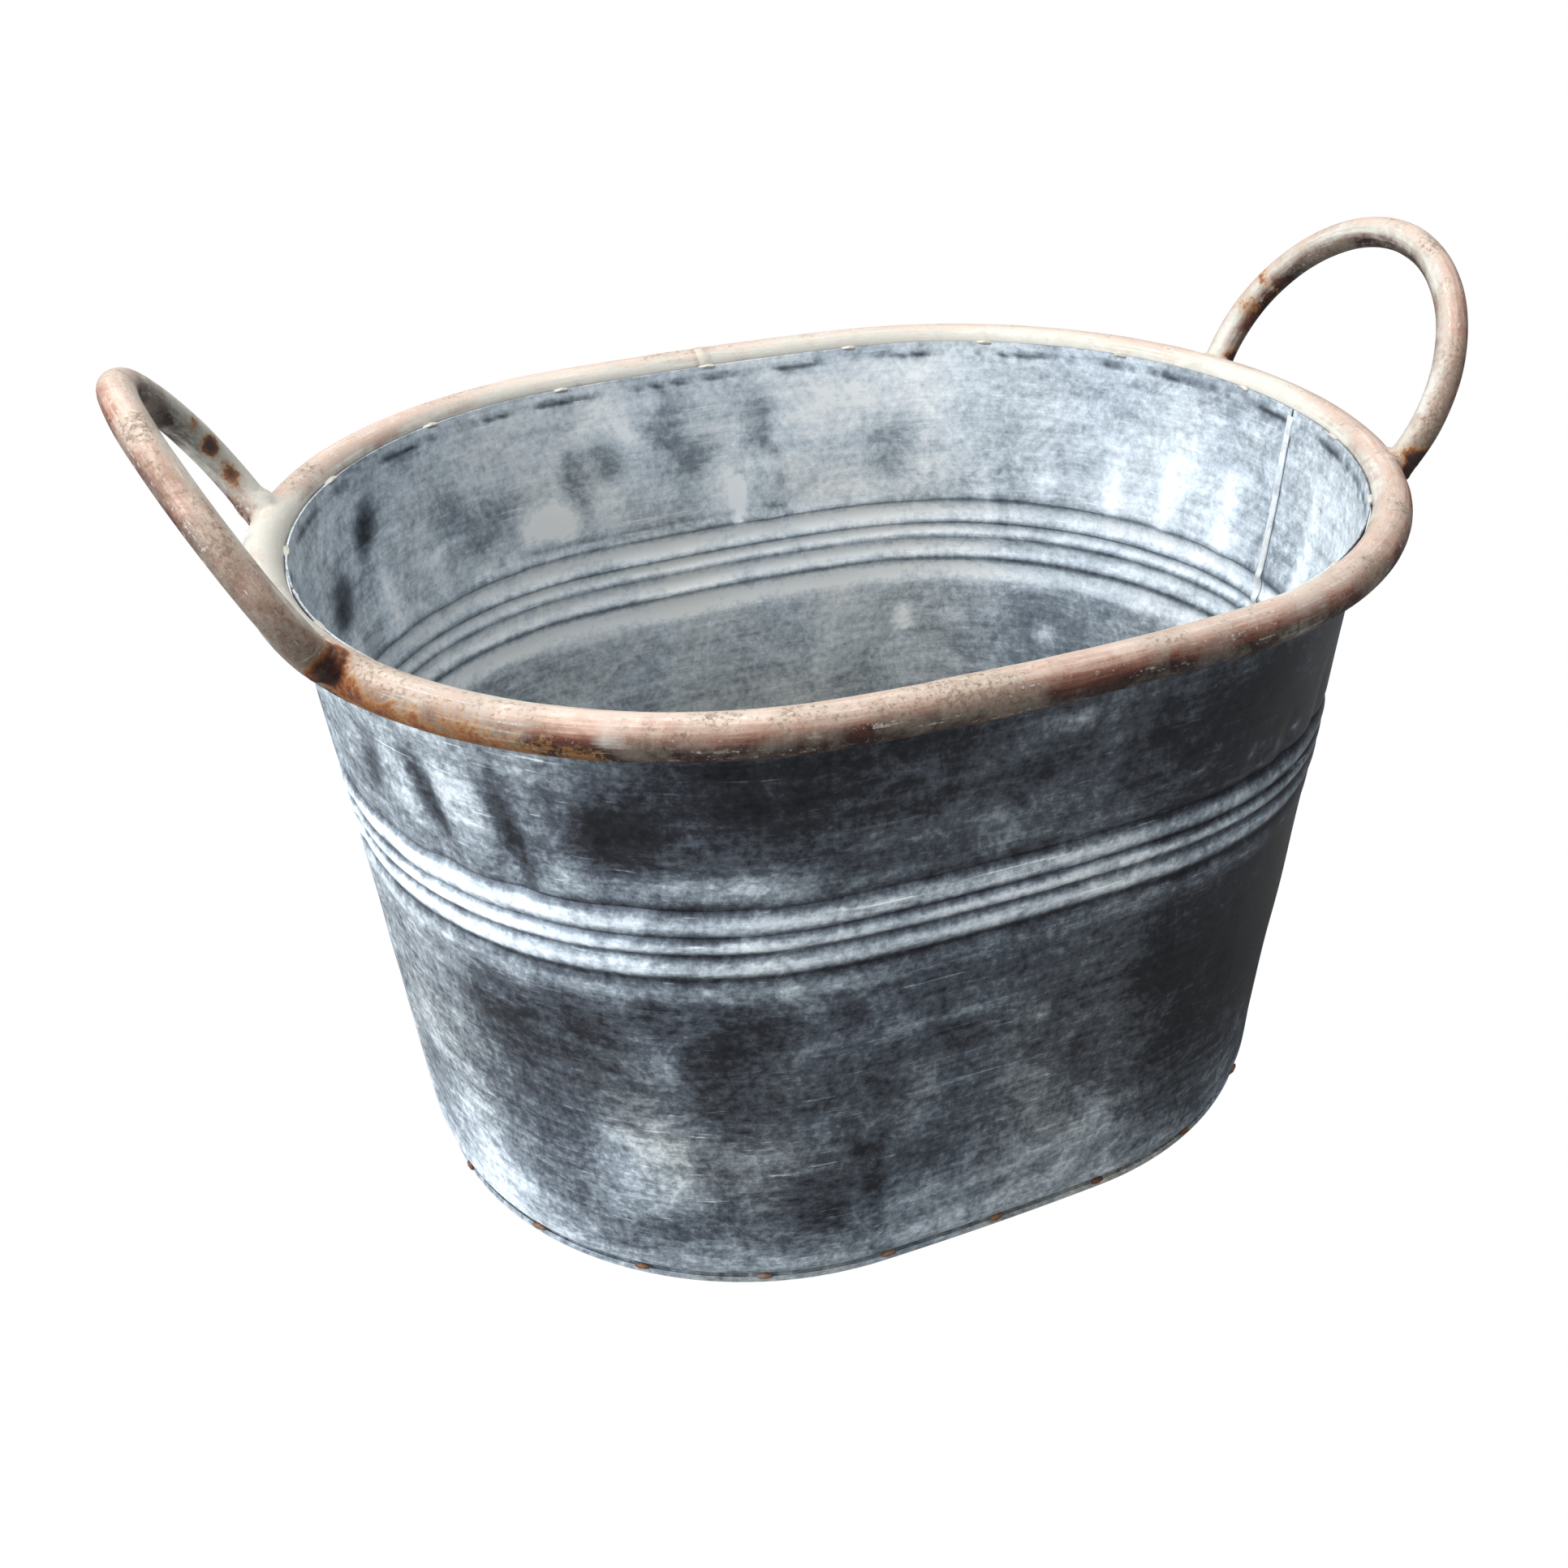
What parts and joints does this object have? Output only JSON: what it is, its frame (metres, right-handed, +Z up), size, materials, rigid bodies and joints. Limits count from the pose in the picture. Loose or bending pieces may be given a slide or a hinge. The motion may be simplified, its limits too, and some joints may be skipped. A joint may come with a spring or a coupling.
{
  "type": "florist bucket",
  "caption": "Oval galvanised florist bucket: tapered sheet walls with a swaged band, flanged bottom pan, tubular steel hoop and two leaning tube handles welded on.",
  "frame": {"origin": "on the floor, under the middle of the bucket", "axes": "+X along the oval's long axis towards the right handle, +Y towards the back wall, +Z up through the open mouth"},
  "size_m": [0.4035, 0.2692, 0.269],
  "materials": {
    "zinc_sheet": "weathered zinc-coated steel sheet, mottled and scuffed",
    "aged_steel_tube": "worn pinkish-brown primer and surface rust on steel tube",
    "weld_metal": "rusted weld bead",
    "solder": "dull smooth solder run"
  },
  "bodies": {
    "root": {"base_tack_01": "weld_metal", "base_tack_02": "weld_metal", "base_tack_03": "weld_metal", "base_tack_04": "weld_metal", "base_tack_05": "weld_metal", "base_tack_06": "weld_metal", "base_tack_07": "weld_metal", "base_tack_08": "weld_metal", "base_tack_09": "weld_metal", "base_tack_10": "weld_metal", "base_tack_11": "weld_metal", "base_tack_12": "weld_metal", "base_tack_13": "weld_metal", "base_tack_14": "weld_metal", "base_tack_15": "weld_metal", "base_tack_16": "weld_metal", "base_tack_17": "weld_metal", "base_tack_18": "weld_metal", "base_tack_19": "weld_metal", "base_tack_20": "weld_metal", "base_tack_21": "weld_metal", "base_tack_22": "weld_metal", "bottom_pan": "zinc_sheet", "handle_left": "aged_steel_tube", "handle_right": "aged_steel_tube", "handle_weld_left_back": "weld_metal", "handle_weld_left_front": "weld_metal", "handle_weld_right_back": "weld_metal", "handle_weld_right_front": "weld_metal", "hoop_joint_weld": "weld_metal", "rim_hoop": "aged_steel_tube", "rim_tack_01": "weld_metal", "rim_tack_02": "weld_metal", "rim_tack_03": "weld_metal", "rim_tack_04": "weld_metal", "rim_tack_05": "weld_metal", "rim_tack_06": "weld_metal", "rim_tack_07": "weld_metal", "rim_tack_08": "weld_metal", "rim_tack_09": "weld_metal", "rim_tack_10": "weld_metal", "rim_tack_11": "weld_metal", "rim_tack_12": "weld_metal", "rim_tack_13": "weld_metal", "rim_tack_14": "weld_metal", "rim_tack_15": "weld_metal", "rim_tack_16": "weld_metal", "rim_tack_17": "weld_metal", "rim_tack_18": "weld_metal", "seam_solder_left": "solder", "seam_solder_right": "solder", "wall_back": "zinc_sheet", "wall_front": "zinc_sheet"}
  },
  "joints": []
}
